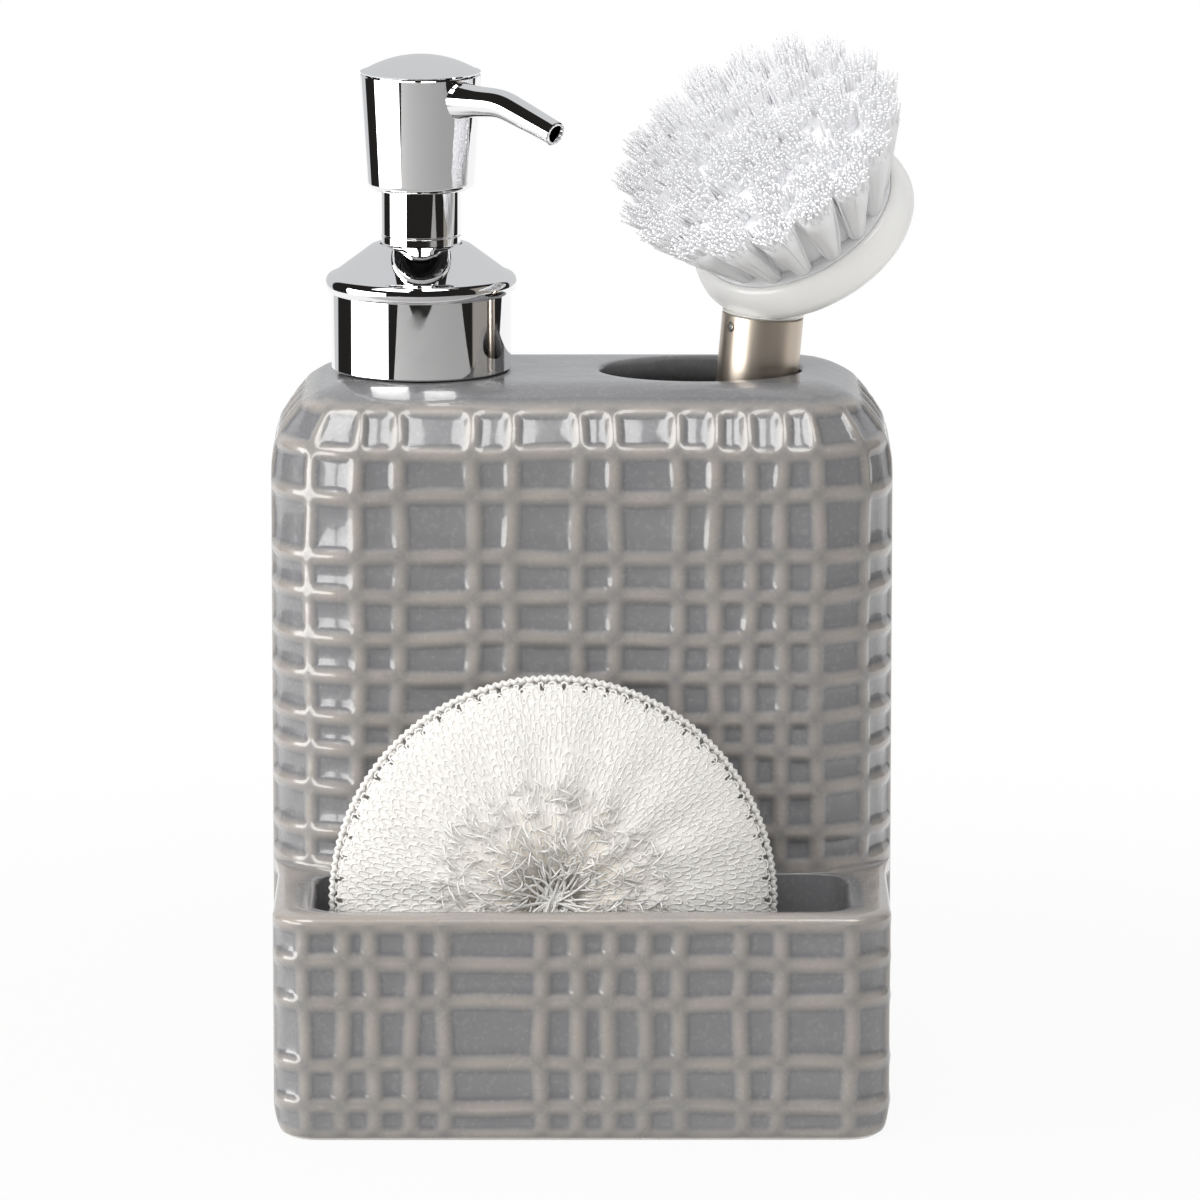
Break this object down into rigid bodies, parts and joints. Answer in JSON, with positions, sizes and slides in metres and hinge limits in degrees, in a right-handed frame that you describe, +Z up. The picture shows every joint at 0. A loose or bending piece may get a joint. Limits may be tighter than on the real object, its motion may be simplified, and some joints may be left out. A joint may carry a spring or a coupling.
{
  "type": "soap dispenser",
  "caption": "Glazed ceramic countertop soap dispenser with a chrome lotion pump, a dish brush leaning in an oval well and a round mesh scrubber in a front pocket.",
  "frame": {"origin": "centre of the ceramic casting's base, on the surface it stands on", "axes": "+Z up, -Y towards the front pocket, +X towards the brush as seen from the front"},
  "size_m": [0.144, 0.1182, 0.2332],
  "materials": {
    "glaze": "glossy warm grey glaze over a soft raised grid",
    "chrome": "mirror-bright chrome plating",
    "brushed_steel": "fine lengthwise brushing",
    "steel": "plain bright steel",
    "white_plastic": "satin moulded white",
    "natural_plastic": "natural translucent moulding",
    "rubber": "soft matt",
    "bristle": "stiff white filament",
    "mesh": "knitted white plastic yarn"
  },
  "bodies": {
    "ceramic": {"ceramic_body": "glaze"},
    "stopper": {"neck_adapter": "natural_plastic", "seat_gasket": "rubber"},
    "pump_frame": {"pump_housing": "natural_plastic", "housing_cap": "white_plastic", "closure_gasket": "rubber", "dip_tube": "natural_plastic", "return_spring": "steel"},
    "collar": {"collar_shroud": "chrome", "threaded_closure": "white_plastic", "stem_sleeve": "chrome"},
    "plunger": {"piston_stem": "white_plastic", "piston_seal": "white_plastic"},
    "head": {"head_shell": "chrome", "head_cap": "chrome", "head_insert": "white_plastic"},
    "inlet_valve": {"inlet_ball": "steel"},
    "outlet_valve": {"outlet_ball": "steel"},
    "brush": {"brush_handle": "brushed_steel", "handle_end_plug": "white_plastic", "neck_rivet": "steel", "brush_head": "white_plastic", "bristles": "bristle"},
    "scrubber": {"scrubber_pad": "mesh", "scrubber_tie": "mesh"}
  },
  "joints": [
    {"name": "pump_pull", "type": "slide", "parent": "ceramic", "child": "stopper", "axis": [0, 0, 1], "range_m": [0, 0.155]},
    {"name": "thread_rise", "type": "slide", "parent": "stopper", "child": "pump_frame", "axis": [0, 0, 1], "range_m": [0, 0.00507]},
    {"name": "collar_turn", "type": "hinge", "parent": "pump_frame", "child": "collar", "pos_m": [-0.036, 0.0216, 0.17], "axis": [0, 0, 1], "range_deg": [0, 432]},
    {"name": "press", "type": "slide", "parent": "pump_frame", "child": "plunger", "axis": [0, 0, -1], "range_m": [0, 0.012], "stiffness_N_per_m": 600, "springref_m": -0.006, "deforming": ["return_spring"]},
    {"name": "spout_swivel", "type": "hinge", "parent": "plunger", "child": "head", "pos_m": [-0.036, 0.0216, 0.21], "axis": [0, 0, 1], "continuous": true},
    {"name": "inlet_lift", "type": "slide", "parent": "pump_frame", "child": "inlet_valve", "axis": [0, 0, 1], "range_m": [0, 0.0015]},
    {"name": "outlet_lift", "type": "slide", "parent": "plunger", "child": "outlet_valve", "axis": [0, 0, 1], "range_m": [0, 0.0015]},
    {"name": "brush_lift", "type": "slide", "parent": "ceramic", "child": "brush", "axis": [0.0889, 0, 0.996], "range_m": [0, 0.17]},
    {"name": "scrubber_lift", "type": "slide", "parent": "ceramic", "child": "scrubber", "axis": [0, 0, 1], "range_m": [0, 0.095]}
  ],
  "couplings": [
    {"joint": "collar_turn", "follows": "thread_rise", "rad_per_m": 1485.4}
  ]
}
